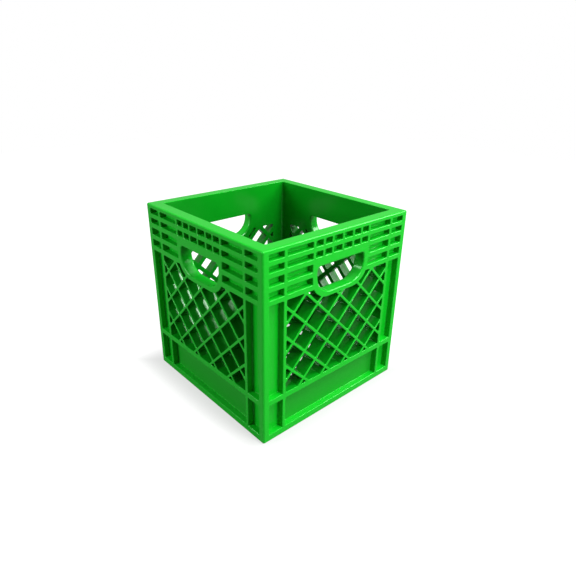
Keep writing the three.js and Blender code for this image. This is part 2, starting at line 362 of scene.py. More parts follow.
@dataclass
class CellOutline:
    """The outline of one cell of the lattice: its points, and which of them are corners."""

    points: list[Vector]
    sharp: list[bool]

    @classmethod
    def around(cls, face: BMFace, room: float) -> "CellOutline":
        """Reads a flat face's outline without short edges or bends close to a corner.

        Args:
            face: The face, whose corners run anticlockwise seen from the front.
            room: How far the outline will be drawn in and rounded.

        Returns:
            The outline.
        """
        drawn = [loop.vert.co.to_2d() for loop in face.loops]
        points = [
            (here + after) / 2 if (after - here).length < SHORT else here
            for before, here, after in cls._with_neighbours(drawn)
            if (here - before).length >= SHORT
        ]
        turns = [cls._turn(*around) for around in cls._with_neighbours(points)]
        corners = [
            (point, room * math.tan(turn / 2))
            for point, turn in zip(points, turns)
            if turn > CORNER
        ]
        kept = [
            (point, turn > CORNER)
            for point, turn in zip(points, turns)
            if turn > CORNER
            or all((point - corner).length > reserve for corner, reserve in corners)
        ]
        return cls([point for point, _ in kept], [sharp for _, sharp in kept])

    @property
    def room(self) -> float:
        """How much room there is inside.

        Returns:
            Roughly the radius of the largest circle inside.
        """
        steps = list(self._with_neighbours(self.points))
        area = sum(here.x * after.y - here.y * after.x for _, here, after in steps) / 2
        return 2 * area / sum((after - here).length for _, here, after in steps)

    def ring(self, inset: float, radius: float, steps: int, level: float) -> list[Vector]:
        """The outline drawn in, with round corners.

        Args:
            inset: How far its sides move in.
            radius: The radius of its corners.
            steps: Facets of a corner.
            level: The ring's level along Z.

        Returns:
            The ring's points, as many for every inset and radius.
        """
        moved = [self._moved_in(inset, *around) for around in self._with_neighbours(self.points)]
        ring = []
        for sharp, (before, here, after) in zip(self.sharp, self._with_neighbours(moved)):
            if not sharp:
                ring.append(Vector((here.x, here.y, level)))
                continue
            back, on = before - here, after - here
            turn = self._turn(before, here, after)
            most = EDGE_SHARE * min(back.length, on.length)
            setback = min(radius * math.tan(turn / 2), most)
            inward = (back.normalized() + on.normalized()).normalized()
            centre = here + inward * setback / math.sin(turn / 2)
            arm = here + back.normalized() * setback - centre
            for step in range(steps + 1):
                swung = Matrix.Rotation(turn * step / steps, 2) @ arm
                ring.append(Vector((centre.x + swung.x, centre.y + swung.y, level)))
        return ring

    @staticmethod
    def _with_neighbours(points: list[Vector]) -> Iterable[tuple[Vector, Vector, Vector]]:
        """Each point with the one before it and the one after it."""
        return zip(points[-1:] + points[:-1], points, points[1:] + points[:1])

    @staticmethod
    def _turn(before: Vector, here: Vector, after: Vector) -> float:
        """How far a line turns to the left at a point, in radians."""
        a, b = here - before, after - here
        return math.atan2(a.cross(b), a.dot(b))

    @staticmethod
    def _moved_in(inset: float, before: Vector, here: Vector, after: Vector) -> Vector:
        """Where a point lies once the sides next to it have moved in.

        Args:
            inset: How far they move.
            before: The point before it.
            here: The point.
            after: The point after it.

        Returns:
            The moved point.
        """
        a, b = (here - before).normalized(), (after - here).normalized()
        across = Vector((-a.y - b.y, a.x + b.x))
        return here + across * inset / (1 + a.dot(b))


class Mould:
    """A shape under work, drawn flat and facing up, with the cuts that a mould maker makes."""

    def __init__(self) -> None:
        """Starts with nothing drawn."""
        self.mesh = bmesh.new()
        self.cuts: list[BMFace] = []

    @property
    def everything(self) -> list[BMVert | BMEdge | BMFace]:
        """All that is drawn."""
        return self.mesh.verts[:] + self.mesh.edges[:] + self.mesh.faces[:]

    def outline(self, corners: Iterable[Pair], level: float = 0.0) -> BMFace:
        """Draws a flat face through its corners.

        Args:
            corners: The corners, anticlockwise seen from the front.
            level: The face's level along Z.

        Returns:
            The face, which is also the next one to be cut.
        """
        face = self.mesh.faces.new([self.mesh.verts.new((x, y, level)) for x, y in corners])
        face.normal_update()
        self.cuts = [face]
        return face

    def round_corners(self, corners: list[BMVert], radius: float, steps: int) -> None:
        """Rounds corners of lone flat faces, each by the same setback.

        Args:
            corners: The corner vertices.
            radius: The setback along both edges, which is the radius at a square corner.
            steps: Facets of the round.
        """
        bmesh.ops.bevel(
            self.mesh,
            geom=corners,
            offset=radius,
            offset_type="OFFSET",
            segments=steps,
            profile=0.5,
            affect="VERTICES",
            material=-1,
            clamp_overlap=False,
        )
        self.cuts = self.mesh.faces[:]

    def clear_bends(self, reach: float) -> None:
        """Takes the points of a curve away that lie close to a corner.

        Args:
            reach: How close they lie.
        """
        corners = [vert for vert in self.mesh.verts if vert.calc_edge_angle() > CORNER]
        near = [
            vert
            for vert in self.mesh.verts
            if vert not in corners
            and any((vert.co - corner.co).length < reach for corner in corners)
        ]
        bmesh.ops.dissolve_verts(self.mesh, verts=near)
        self.cuts = self.mesh.faces[:]

    def round_sharp_corners(self, radius: float, least: float, steps: int) -> None:
        """Rounds every corner of every lone face that has room for a round.

        Args:
            radius: The round's radius.
            least: The least radius that is worth a round.
            steps: Facets of the round.
        """
        setbacks: dict[float, list[BMVert]] = defaultdict(list)
        for face in self.mesh.faces:
            for loop in face.loops:
                back = loop.link_loop_prev.vert.co - loop.vert.co
                on = loop.link_loop_next.vert.co - loop.vert.co
                angle = back.angle(on)
                outward = on.cross(back).dot(face.normal) > 0
                if not outward or angle > BLUNT:
                    continue
                share = math.tan(angle / 2)
                setback = min(radius / share, EDGE_SHARE * min(back.length, on.length))
                if setback * share > least:
                    setbacks[round(setback, 3)].append(loop.vert)
        for setback, corners in setbacks.items():
            self.round_corners(corners, setback, steps)

    def slit(
        self,
        point: Triple | Vector,
        normal: Triple | Vector,
        clear_ahead: bool = False,
        clear_behind: bool = False,
    ) -> None:
        """Splits every face along a line of the drawing.

        Args:
            point: A point on the line.
            normal: The direction across the line.
            clear_ahead: Whether what lies in that direction goes.
            clear_behind: Whether what lies on the other side goes.
        """
        bmesh.ops.bisect_plane(
            self.mesh,
            geom=self.everything,
            dist=MERGE,
            plane_co=point,
            plane_no=normal,
            clear_outer=clear_ahead,
            clear_inner=clear_behind,
        )
        self.cuts = self.mesh.faces[:]

    def drop(self, unwanted: Callable[[BMFace], bool]) -> None:
        """Deletes the faces that a test picks out.

        Args:
            unwanted: Says whether a face goes.
        """
        gone = [face for face in self.mesh.faces if unwanted(face)]
        bmesh.ops.delete(self.mesh, geom=gone, context="FACES")
        self.cuts = self.mesh.faces[:]

    def step(self, inward: float, down: float) -> list[BMFace]:
        """Draws the cut faces in, leaving a band round each.

        Args:
            inward: How far every edge moves in.
            down: How far the face sinks.

        Returns:
            The bands.
        """
        bands = bmesh.ops.inset_individual(
            self.mesh,
            faces=self.cuts,
            thickness=inward,
            depth=-down,
            use_even_offset=True,
        )
        return bands["faces"]

    def round_edge(self, inward: float, down: float, steps: int, at_mouth: bool) -> None:
        """Rounds an edge of the cut, as it sinks or, below zero, as it rises.

        Args:
            inward: How far in the round reaches.
            down: How far down it reaches.
            steps: Facets of the round.
            at_mouth: Whether it sets out level, from the face into the cut's sides, and not
                upright, from the sides into the cut's floor or a raised top.
        """
        turns = quarter_round(steps)
        for a, b in zip(turns, turns[1:]):
            early, late = math.sin(b) - math.sin(a), math.cos(a) - math.cos(b)
            if at_mouth:
                self.step(inward * early, down * late)
            else:
                self.step(inward * late, down * early)

    def skin(self, rings: list[list[Vector]]) -> None:
        """Draws a band through rings of equal point count, one after the other.

        Args:
            rings: The rings, each a closed line.
        """
        verts = [[self.mesh.verts.new(point) for point in ring] for ring in rings]
        for upper, lower in zip(verts, verts[1:]):
            for at in range(len(upper)):
                self.mesh.faces.new((upper[at - 1], upper[at], lower[at], lower[at - 1]))

    def open_cuts(self) -> None:
        """Takes the floor out of every cut."""
        bmesh.ops.delete(self.mesh, geom=self.cuts, context="FACES_ONLY")
        self.cuts = []

    def mirror_in_depth(self, level: float) -> None:
        """Adds the mirror image on the other side of a level and joins the two there.

        Args:
            level: The level along Z of the mirror.
        """
        self.move(Matrix.Translation((0, 0, -level)))
        bmesh.ops.mirror(self.mesh, geom=self.everything, merge_dist=MERGE, axis="Z")
        self.move(Matrix.Translation((0, 0, level)))

    def move(self, matrix: Matrix) -> "Mould":
        """Moves everything and gives the mould back."""
        bmesh.ops.transform(self.mesh, matrix=matrix, verts=self.mesh.verts[:])
        return self

    def finish(self, finish: Finish, low: float, high: float) -> None:
        """Gives the faces that lie between two levels another finish than the plain one.

        Args:
            finish: The finish.
            low: The lower level.
            high: The upper level.
        """
        for face in self.mesh.faces:
            if all(low < vert.co.z < high for vert in face.verts):
                face.material_index = finish.value

    def absorb(self, other: "Mould") -> None:
        """Takes over what another mould holds.

        Args:
            other: The other mould, which is used up.
        """
        holder = bpy.data.meshes.new("holder")
        other.mesh.to_mesh(holder)
        self.mesh.from_mesh(holder)
        other.mesh.free()
        bpy.data.meshes.remove(holder)

    def close(self, level: float) -> None:
        """Fills the flat between all open edges at one level.

        Args:
            level: The level along Z.
        """
        edges = [edge for edge in self.mesh.edges if self._open_at(edge, level)]
        bmesh.ops.triangle_fill(
            self.mesh, use_beauty=True, use_dissolve=False, edges=edges, normal=(0, 0, 1)
        )

    def sides(self, span: Span, depth: float) -> None:
        """Draws the four sides of a slab that reaches down from level zero, open at both ends.

        Args:
            span: The slab's outline.
            depth: The slab's thickness.
        """
        face = self.outline(span.corners)
        walls = bmesh.ops.extrude_edge_only(self.mesh, edges=face.edges[:])
        lower = [item for item in walls["geom"] if isinstance(item, BMVert)]
        bmesh.ops.translate(self.mesh, verts=lower, vec=(0, 0, -depth))
        bmesh.ops.delete(self.mesh, geom=[face], context="FACES_ONLY")

    @staticmethod
    def _open_at(edge: BMEdge, level: float) -> bool:
        """Whether an edge lies at a level and lacks a face on one side."""
        flat = all(abs(vert.co.z - level) < MERGE for vert in edge.verts)
        return flat and len(edge.link_faces) < 2


NodeInput = float | tuple[float, ...] | NodeSocket


class Nodes:
    """The nodes of a finish, each added with its settings and its inputs in one call."""

    def __init__(self, owner: Material | World) -> None:
        """Turns the owner's nodes on."""
        owner.use_nodes = True
        self.tree = owner.node_tree

    def feed(self, node: Node, inputs: dict[int | str, NodeInput]) -> Node:
        """Gives a node its inputs.

        Args:
            node: The node.
            inputs: The inputs by name or place, each with a value or the output it follows.

        Returns:
            The node.
        """
        for name, value in inputs.items():
            if isinstance(value, NodeSocket):
                self.tree.links.new(value, node.inputs[name])
            else:
                node.inputs[name].default_value = value
        return node

    def add(
        self, kind: str, inputs: dict[int | str, NodeInput] | None = None, **settings: str | bool
    ) -> Node:
        """Adds a shader node.

        Args:
            kind: The node's type.
            inputs: The inputs, as for feed.
            settings: The node's own settings.

        Returns:
            The node.
        """
        node = self.tree.nodes.new(f"ShaderNode{kind}")
        for name, value in settings.items():
            setattr(node, name, value)
        return self.feed(node, inputs or {})

    def place(self) -> NodeSocket:
        """Adds the Object coordinates."""
        return self.add("TexCoord").outputs["Object"]

    def calculate(self, kind: str, *values: NodeInput, clamp: bool = False) -> NodeSocket:
        """Adds a calculation of a kind on some values, and gives its result."""
        node = self.add("Math", dict(enumerate(values)), operation=kind, use_clamp=clamp)
        return node.outputs["Value"]

    def ramp(
        self,
        value: NodeSocket,
        ends: tuple[NodeInput, NodeInput],
        reach: Pair = (0.0, 1.0),
        kind: str = "LINEAR",
    ) -> NodeSocket:
        """Adds a ramp.

        Args:
            value: What the ramp follows.
            ends: What it gives at its start and at its end.
            reach: The values at its start and at its end.
            kind: How it runs between them.

        Returns:
            The ramp's result.
        """
        inputs = {
            "Value": value,
            "From Min": reach[0],
            "From Max": reach[1],
            "To Min": ends[0],
            "To Max": ends[1],
        }
        return self.add("MapRange", inputs, interpolation_type=kind).outputs["Result"]

    def noise(self, place: NodeSocket, scale: float, detail: float) -> NodeSocket:
        """Adds a noise, its scale in waves to the metre, and gives its level."""
        inputs = {"Vector": place, "Scale": scale, "Detail": detail}
        return self.add("TexNoise", inputs).outputs["Fac"]

    def from_middle(self, place: NodeSocket) -> tuple[NodeSocket, NodeSocket]:
        """Adds the distances that tell the crate's outside from its inside.

        Args:
            place: The coordinates.

        Returns:
            How far a point lies out towards the wall nearest to it, and how high it lies.
        """
        apart = self.add("VectorMath", {0: place}, operation="ABSOLUTE").outputs["Vector"]
        axes = self.add("SeparateXYZ", {"Vector": apart}).outputs
        return self.calculate("MAXIMUM", axes["X"], axes["Y"]), axes["Z"]


@dataclass(frozen=True)
class MouldedPlastic:
    """Moulded polyethylene: its colour, its shine, a broad ripple and the fine grain of the mould.

    A mottled colour runs from a darker one, painted shade inside the crate, to the plain one of
    the outer faces and the rim's top. On the upper inside the painted shade lightens a share of
    the way towards the plain colour.
    Lengths are in metres, and scales in waves to the metre.
    """

    name: str = "green_moulded_plastic"
    colour: Triple = (0.003, 0.4, 0.012)
    painted_shade_colour: Triple = (0.0008, 0.15, 0.004)
    roughness: Pair = (0.16, 0.22)
    refraction: float = 1.5
    specular: float = 0.5
    specular_tint: Triple = (0.55, 1.0, 0.62)
    unshaded_outer_reach: Pair = (0.1435, 0.1475)
    unshaded_rim_height: Pair = (0.3325, 0.3345)
    inside_shade_fade_height: Pair = (0.12, 0.27)
    inside_shade_fade_share: float = 0.28
    mottle: float = 0.3
    shade_scale: float = 14.0
    shade_detail: float = 3.0
    relief_detail: float = 1.0
    ripple_scale: float = 26.0
    ripple_depth: float = 0.0005
    ripple_strength: float = 0.35
    grain_scale: float = 1500.0
    grain_depth: float = 0.00003
    grain_strength: float = 0.5

    def build(self) -> Material:
        """Makes the material.

        Returns:
            The material, which reads Object coordinates.
        """
        material = bpy.data.materials.new(self.name)
        nodes = Nodes(material)
        nodes.tree.nodes.clear()
        place = nodes.place()
        shade = nodes.noise(place, self.shade_scale, self.shade_detail)
        # Painted shade: the inside of the crate takes the darker colour, which lightens higher up.
        unshaded_mask = self._painted_shade_mask(nodes, place)
        tone = {
            "Factor": nodes.calculate("MULTIPLY_ADD", shade, self.mottle, unshaded_mask, clamp=True),
            "A": (*self.painted_shade_colour, 1.0),
            "B": (*self.colour, 1.0),
        }
        shader = nodes.add("BsdfPrincipled", {
            "Base Color": nodes.add("Mix", tone, data_type="RGBA").outputs["Result"],
            "Metallic": 0.0,
            "Roughness": nodes.ramp(shade, self.roughness),
            "IOR": self.refraction,
            "Specular IOR Level": self.specular,
            "Specular Tint": (*self.specular_tint, 1.0),
            "Normal": self._relief(nodes, place),
        })
        nodes.add("OutputMaterial", {"Surface": shader.outputs["BSDF"]})
        return material

    def _painted_shade_mask(self, nodes: Nodes, place: NodeSocket) -> NodeSocket:
        """Adds the mask that keeps the painted shade off the outer faces and the rim's top, and
        lightens it on the upper inside.

        Args:
            nodes: The material's nodes.
            place: The coordinates.

        Returns:
            The mask, less half the mottle that is added to it.
        """
        outer, height = nodes.from_middle(place)
        low = -self.mottle / 2
        walls, rim, inside = (
            nodes.ramp(start, (low, share + low), reach, "SMOOTHSTEP")
            for start, reach, share in (
                (outer, self.unshaded_outer_reach, 1.0),
                (height, self.unshaded_rim_height, 1.0),
                (height, self.inside_shade_fade_height, self.inside_shade_fade_share),
            )
        )
        outside = nodes.calculate("MAXIMUM", walls, rim)
        return nodes.calculate("MAXIMUM", outside, inside)

    def _relief(self, nodes: Nodes, place: NodeSocket) -> NodeSocket:
        """Adds the ripple and the grain over it.

        Args:
            nodes: The material's nodes.
            place: The coordinates.

        Returns:
            The bumped normal.
        """
        below: dict[int | str, NodeInput] = {}
        for scale, depth, strength in (
            (self.ripple_scale, self.ripple_depth, self.ripple_strength),
            (self.grain_scale, self.grain_depth, self.grain_strength),
        ):
            height = nodes.noise(place, scale, self.relief_detail)
            bump = {"Height": height, "Distance": depth, "Strength": strength}
            below = {"Normal": nodes.add("Bump", bump | below).outputs["Normal"]}
        return below["Normal"]


PLASTICS = {
    Finish.SATIN: MouldedPlastic(),
    # The lower panels' recesses are textured and also painted darker as shade.
    Finish.TEXTURED: MouldedPlastic(
        name="green_textured_plastic_painted_shade",
        colour=(0.002, 0.27, 0.007),
        painted_shade_colour=(0.0017, 0.24, 0.006),
        roughness=(0.45, 0.55),
        grain_scale=1100.0,
        grain_depth=0.00008,
    ),
    # The lattice cells are painted darker as shade.
    Finish.CELL_PAINTED_SHADE: MouldedPlastic(
        name="green_cell_painted_shade_plastic",
        colour=(0.0012, 0.22, 0.006),
        painted_shade_colour=(0.0008, 0.16, 0.004),
        roughness=(0.14, 0.19),
        specular=0.6,
        specular_tint=(0.75, 1.0, 0.8),
    ),
}


def put_in_scene(name: str, data: ID) -> Object:
    """Makes an object of a mesh, a lamp or a camera.

    Args:
        name: The object's name.
        data: What it shows.

    Returns:
        The object.
    """
    made = bpy.data.objects.new(name, data)
    bpy.context.scene.collection.objects.link(made)
    return made


@dataclass
class Dresser:
    """Turns finished moulds into named pieces of the crate."""

    finishes: dict[Finish, Material]
    made: list[Object] = field(default_factory=list)

    def dress(
        self, mould: Mould, name: str, matrix: Matrix, stands_for: Iterable[str]
    ) -> Object:
        """Makes a piece of a mould's shape and has it stand for packed regions.

        Args:
            mould: The shape, which stays as it is for further copies.
            name: The piece's name.
            matrix: The move from the mould's drawing to the crate, in metres.
            stands_for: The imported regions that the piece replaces.

        Returns:
            The piece.
        """
        body = mould.mesh.copy()
        bmesh.ops.remove_doubles(body, verts=body.verts[:], dist=MERGE)
        # Strong flat faces keep the rounds beside them from shading over onto them.
        body.normal_update()
        strength = body.faces.layers.int.new(FACE_STRENGTH)
        for face in body.faces:
            if max(abs(part) for part in face.normal) > FLAT:
                face[strength] = STRONG
        # The move can be a mirroring one, so the faces are turned outwards after it.
        bmesh.ops.transform(body, matrix=matrix, verts=body.verts[:])
        bmesh.ops.recalc_face_normals(body, faces=body.faces[:])
        open_edges = sum(1 for edge in body.edges if len(edge.link_faces) != 2)
        data = bpy.data.meshes.new(name)
        body.to_mesh(data)
        body.free()
        used = sorted({face.material_index for face in data.polygons})
        for face in data.polygons:
            face.material_index = used.index(face.material_index)
        for index in used:
            data.materials.append(self.finishes[Finish(index)])
        data.polygons.foreach_set("use_smooth", [True] * len(data.polygons))
        data.set_sharp_from_angle(angle=SHARP)
        piece = put_in_scene(name, data)
        normals = piece.modifiers.new("flat_faces_stay_flat", "WEIGHTED_NORMAL")
        normals.mode = "FACE_AREA"
        normals.keep_sharp = True
        normals.use_face_influence = True
        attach(piece, BODY)
        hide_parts(*stands_for)
        self.made.append(piece)
        LOG.info("%s: %d faces, %d open edges", name, len(data.polygons), open_edges)
        return piece


def front_wall(sizes: Sizes) -> Matrix:
    """The move that stands a wall's drawing up at the front, still in millimetres."""
    return Matrix.Translation((0, -sizes.half, 0)) @ Matrix.Rotation(QUARTER_TURN, 4, "X")


def in_crate(place: Place = Side.FRONT) -> Matrix:
    """The move from millimetres at the first place to metres at another."""
    return Matrix.Rotation(place.value * QUARTER_TURN, 4, "Z") @ Matrix.Scale(MILLIMETRE, 4)


@dataclass
class Wall:
    """One of the four walls, in three pieces that meet inside its beam and its ledge."""

    sizes: Sizes
    edges: Edges

    def vent_band(self) -> Mould:
        """Shapes the band of vents under the rim."""
        s = self.sizes
        return self._slab(s.beam_seam, s.rim_seam, [self.pocket(vent) for vent in s.vent_spans()])

    def lower_panel(self) -> Mould:
        """Shapes the closed panel under the lattice.

        Returns:
            The mould.
        """
        s = self.sizes
        recess = Span(-s.window_half, s.window_half, s.base_rib, s.ledge_bottom)
        panel = self._slab(s.base_seam, s.ledge_seam, [self.pocket(recess)])
        # The recess floor is textured and painted darker as shade.
        panel.finish(Finish.TEXTURED, -s.recess - MERGE, -s.recess + MERGE)
        return panel

    def middle(self) -> Mould:
        """Shapes the hand hold, the panels beside it and the lattice under them.

        Returns:
            The mould.
        """
        s = self.sizes
        cells = self._lattice_cells()
        # The cells' sides take a darker colour as painted shade.
        cells.finish(Finish.CELL_PAINTED_SHADE, -s.wall - MERGE, MERGE - self.edges.fin)
        panels = [self._side_panels(row) for row in s.panel_rows]
        return self._slab(s.ledge_seam, s.beam_seam, [*panels, self._hand_hold(), cells])

    def pocket(self, span: Span) -> Mould:
        """A blind pocket with rounded corners, mouth and floor.

        Args:
            span: The pocket's opening.

        Returns:
            The mould.
        """
        e = self.edges
        cut = Mould()
        mouth = cut.outline(span.grown(e.pocket).corners)
        cut.round_corners(mouth.verts[:], e.mouth_corner, e.steps)
        return self._sunk(cut)

    def _slab(self, low: float, high: float, cuts: list[Mould]) -> Mould:
        """A closed slab of the wall from stile to stile, with cuts in its outer face.

        Args:
            low: Where the slab starts.
            high: Where it ends.
            cuts: The cuts, which are used up.

        Returns:
            The mould.
        """
        s = self.sizes
        slab = Mould()
        slab.sides(Span(-s.stile_seam, s.stile_seam, low, high), s.wall)
        for cut in cuts:
            slab.absorb(cut)
        slab.close(0.0)
        slab.close(-s.wall)
        return slab

    def _sunk(self, cut: Mould) -> Mould:
        """Sinks blind pockets below the mouths that a mould holds.

        Args:
            cut: The mould, whose faces are the mouths.

        Returns:
            The same mould.
        """
        e = self.edges
        cut.round_edge(e.pocket, e.pocket, e.steps, at_mouth=True)
        cut.step(e.pocket_draft, self.sizes.recess - e.pocket - e.pocket_floor)
        cut.round_edge(e.pocket_floor, e.pocket_floor, e.steps, at_mouth=False)
        return cut

    def _beside_boss(self, grow: float, low: float, high: float) -> Mould:
        """The part of the lattice window's width that the boss leaves free.

        Args:
            grow: How far the opening's edges move out, which draws the boss in.
            low: The height at which the opening starts.
            high: The height at which it ends.

        Returns:
            The mould, with one face, or two where the boss parts them.
        """
        s = self.sizes
        side, edge, bottom = s.window_half + grow, s.boss_half - grow, s.boss_bottom + grow
        floor, ceiling = min(low, s.boss_bottom) - s.wall, s.height
        beside = Mould()
        face = beside.outline([
            (-side, floor),
            (side, floor),
            (side, ceiling),
            (edge, ceiling),
            (edge, bottom),
            (-edge, bottom),
            (-edge, ceiling),
            (-side, ceiling),
        ])
        notch = [vert for vert in face.verts if abs(vert.co.y - bottom) < MERGE]
        beside.round_corners(notch, s.boss_round - grow, self.edges.arc_steps)
        beside.slit((0, low - grow, 0), (0, 1, 0), clear_behind=True)
        beside.slit((0, high + grow, 0), (0, 1, 0), clear_ahead=True)
        return beside

    def _side_panels(self, row: Pair) -> Mould:
        """The two blind panels of a row, either side of the boss.

        Args:
            row: The row's heights.

        Returns:
            The mould.
        """
        e = self.edges
        panels = self._beside_boss(e.pocket, *row)
        panels.clear_bends(e.bend_reach * e.mouth_corner)
        panels.round_sharp_corners(e.mouth_corner, e.pocket, e.steps)
        return self._sunk(panels)

    def _hand_hold(self) -> Mould:
        """The D-shaped opening, rounded at the outer and at the inner face.

        Returns:
            The mould.
        """
        e = self.edges
        cut = Mould()
        cut.skin([
            self._hole_ring(
                depth,
                e.grip * outer + e.grip_lip * inner,
                e.grip * outer + e.grip_brow * inner,
            )
            for depth, outer, inner in self._through(e.grip, e.grip_lip, e.grip_steps)
        ])
        return cut

    def _through(self, outer: float, inner: float, steps: int) -> list[Triple]:
        """The levels of a cut right through the wall, with a round at either face.

        Args:
            outer: The radius of the round at the outer face.
            inner: The radius of the round at the inner face.
            steps: Facets of each round.

        Returns:
            Each level's depth, and what share of each round widens the cut there.
        """
        turns = quarter_round(steps)
        levels = [(outer * (1 - math.cos(a)), 1 - math.sin(a), 0.0) for a in turns]
        wall = self.sizes.wall
        return levels + [(wall - inner * (1 - math.sin(a)), 0.0, 1 - math.cos(a)) for a in turns]

    def _hole_ring(self, depth: float, out: float, up: float) -> list[Vector]:
        """The hand hold's outline at one depth, after the draft.

        Args:
            depth: How deep the outline lies.
            out: How far its sides and its bottom are moved out.
            up: How far its top is moved up.

        Returns:
            The outline's points.
        """
        s, e = self.sizes, self.edges
        share = depth / s.wall
        side = s.hole.x1 + out - share * s.hole_narrowing
        low, high = s.hole.y0 - out, s.hole.y1 + up - share * s.hole_slope
        lower, upper = s.hole_lower_round + out, s.hole_upper_round + up
        quarters = [
            (side - lower, low + lower, lower, -QUARTER_TURN, e.arc_steps),
            (side - upper, high - upper, upper, 0.0, e.grip_steps),
        ]
        right = [
            Vector((x + radius * math.cos(a), y + radius * math.sin(a), -depth))
            for x, y, radius, start, steps in quarters
            for a in quarter_round(steps, start)
        ]
        return right + [Vector((-point.x, point.y, point.z)) for point in reversed(right)]

    def _lattice_lines(self) -> list[tuple[Vector, Vector]]:
        """The centre lines of the fins that cross the window.

        Returns:
            A point on each line, and the direction across it.
        """
        s = self.sizes
        reach = math.ceil((s.window_half + s.window_top - s.window_bottom) / s.diamond)
        lines = []
        for column in range(-reach, reach + 1):
            for slope in (-1, 1):
                x = column * s.diamond
                heights = (s.window_bottom, s.window_top)
                ends = [x + slope * (y - s.middle_crossing) for y in heights]
                width = min(max(ends), s.window_half) - max(min(ends), -s.window_half)
                if width > s.fin_width:
                    across = Vector((-slope, 1, 0)).normalized()
                    lines.append((Vector((x, s.middle_crossing, 0)), across))
        return lines

    def _lattice_cells(self) -> Mould:
        """The openings of the lattice, with rounded edges on both sides of the fins.

        Returns:
            The mould.
        """
        s, e = self.sizes, self.edges
        drawn = self._beside_boss(0.0, s.window_bottom, s.window_top)
        lines = self._lattice_lines()
        reach = s.fin_width / 2
        for point, across in lines:
            for side in (-reach, reach):
                drawn.slit(point + side * across, across)
        drawn.drop(lambda face: any(
            abs((face.calc_center_median_weighted() - point).dot(across)) < reach
            for point, across in lines
        ))
        cells = Mould()
        for face in drawn.mesh.faces:
            cells.skin(self._cell_rings(CellOutline.around(face, s.cell_draft + e.fin_corner)))
        drawn.mesh.free()
        return cells

    def _cell_rings(self, cell: CellOutline) -> list[list[Vector]]:
        """The rings of a cell, which draws in towards the goods as far as it has room.

        Args:
            cell: The cell's outline between the middle lines of its rounds.

        Returns:
            The rings, from the outer face to the inner one.
        """
        s, e = self.sizes, self.edges
        draft = min(s.cell_draft, e.cell_share * cell.room)
        rings = []
        for depth, outer, inner in self._through(e.fin, e.back, e.steps):
            out = e.fin * outer + e.back * inner
            inset = draft * depth / s.wall - out
            rings.append(cell.ring(inset, e.fin_corner + out, e.steps, -depth))
        return rings


@dataclass
class CornerColumn:
    """The upright corner of the crate, with a ribbed bay on either face."""

    sizes: Sizes
    edges: Edges

    def shape(self) -> Mould:
        """Shapes the front right column, standing in the crate.

        Returns:
            The mould, in millimetres.
        """
        s, e = self.sizes, self.edges
        column = Mould()
        corners = [
            (s.stile_seam, -s.half),
            (s.half, -s.half),
            (s.half, -s.stile_seam),
            (s.inner_half, -s.stile_seam),
            (s.inner_half, -s.inner_half),
            (s.stile_seam, -s.inner_half),
        ]
        plan = column.outline(corners, s.base_seam)
        outer, inner = plan.verts[1], plan.verts[4]
        column.round_corners([outer], s.corner_round, e.outer_corner_steps)
        column.round_corners([inner], s.inner_corner_round, e.inner_corner_steps)
        base = column.mesh.faces[:]
        raised = bmesh.ops.extrude_face_region(column.mesh, geom=base, use_keep_orig=True)
        top = [item for item in raised["geom"] if isinstance(item, BMVert)]
        bmesh.ops.translate(column.mesh, verts=top, vec=(0, 0, s.rim_seam - s.base_seam))
        column.drop(self._is_outer_face)
        swap_walls = Matrix(((0, -1, 0, 0), (-1, 0, 0, 0), (0, 0, 1, 0), (0, 0, 0, 1)))
        for place in (front_wall(s), swap_walls @ front_wall(s)):
            column.absorb(self._bay_face().move(place))
        return column

    def _bay_face(self) -> Mould:
        """The column's flat on the front wall, with its bay.

        Returns:
            The mould, drawn flat.
        """
        s = self.sizes
        face = Mould()
        face.outline(Span(s.stile_seam, s.half - s.corner_round, s.base_seam, s.rim_seam).corners)
        face.open_cuts()
        cutter = Wall(s, self.edges)
        for span in s.bay_spans():
            face.absorb(cutter.pocket(span))
        face.close(0.0)
        return face

    def _is_outer_face(self, face: BMFace) -> bool:
        """Says whether a face of the plain column is one of the two that get a bay.

        Args:
            face: The face.

        Returns:
            Whether it is.
        """
        face.normal_update()
        middle = face.calc_center_median()
        outermost = max(abs(middle.x), abs(middle.y)) > self.sizes.half - MERGE
        return outermost and abs(face.normal.z) < MERGE


@dataclass
class SquareRing:
    """The rim, and turned over the foot: a square ring as thick as the wall, with round edges."""

    sizes: Sizes
    edges: Edges
    height: float
    rise: float
    spread: float
    inner_round: float

    def shape(self) -> Mould:
        """Shapes the ring, standing on its flat side at level zero.

        Returns:
            The mould, in millimetres.
        """
        s, e = self.sizes, self.edges
        ring, hollow = Mould(), Mould()
        outer = ring.outline(Span.square(s.half).corners)
        ring.round_corners(outer.verts[:], s.corner_round, e.outer_corner_steps)
        ring.step(0.0, -(self.height - self.rise))
        ring.round_edge(self.spread, -self.rise, e.grip_steps, at_mouth=False)
        ring.open_cuts()
        inner = hollow.outline(Span.square(s.inner_half + self.inner_round).corners, self.height)
        inner_corner = s.inner_corner_round + self.inner_round
        hollow.round_corners(inner.verts[:], inner_corner, e.inner_corner_steps)
        hollow.round_edge(self.inner_round, self.inner_round, e.steps, at_mouth=True)
        hollow.step(0.0, self.height - self.inner_round)
        hollow.open_cuts()
        ring.absorb(hollow)
        ring.close(self.height)
        ring.close(0.0)
        return ring


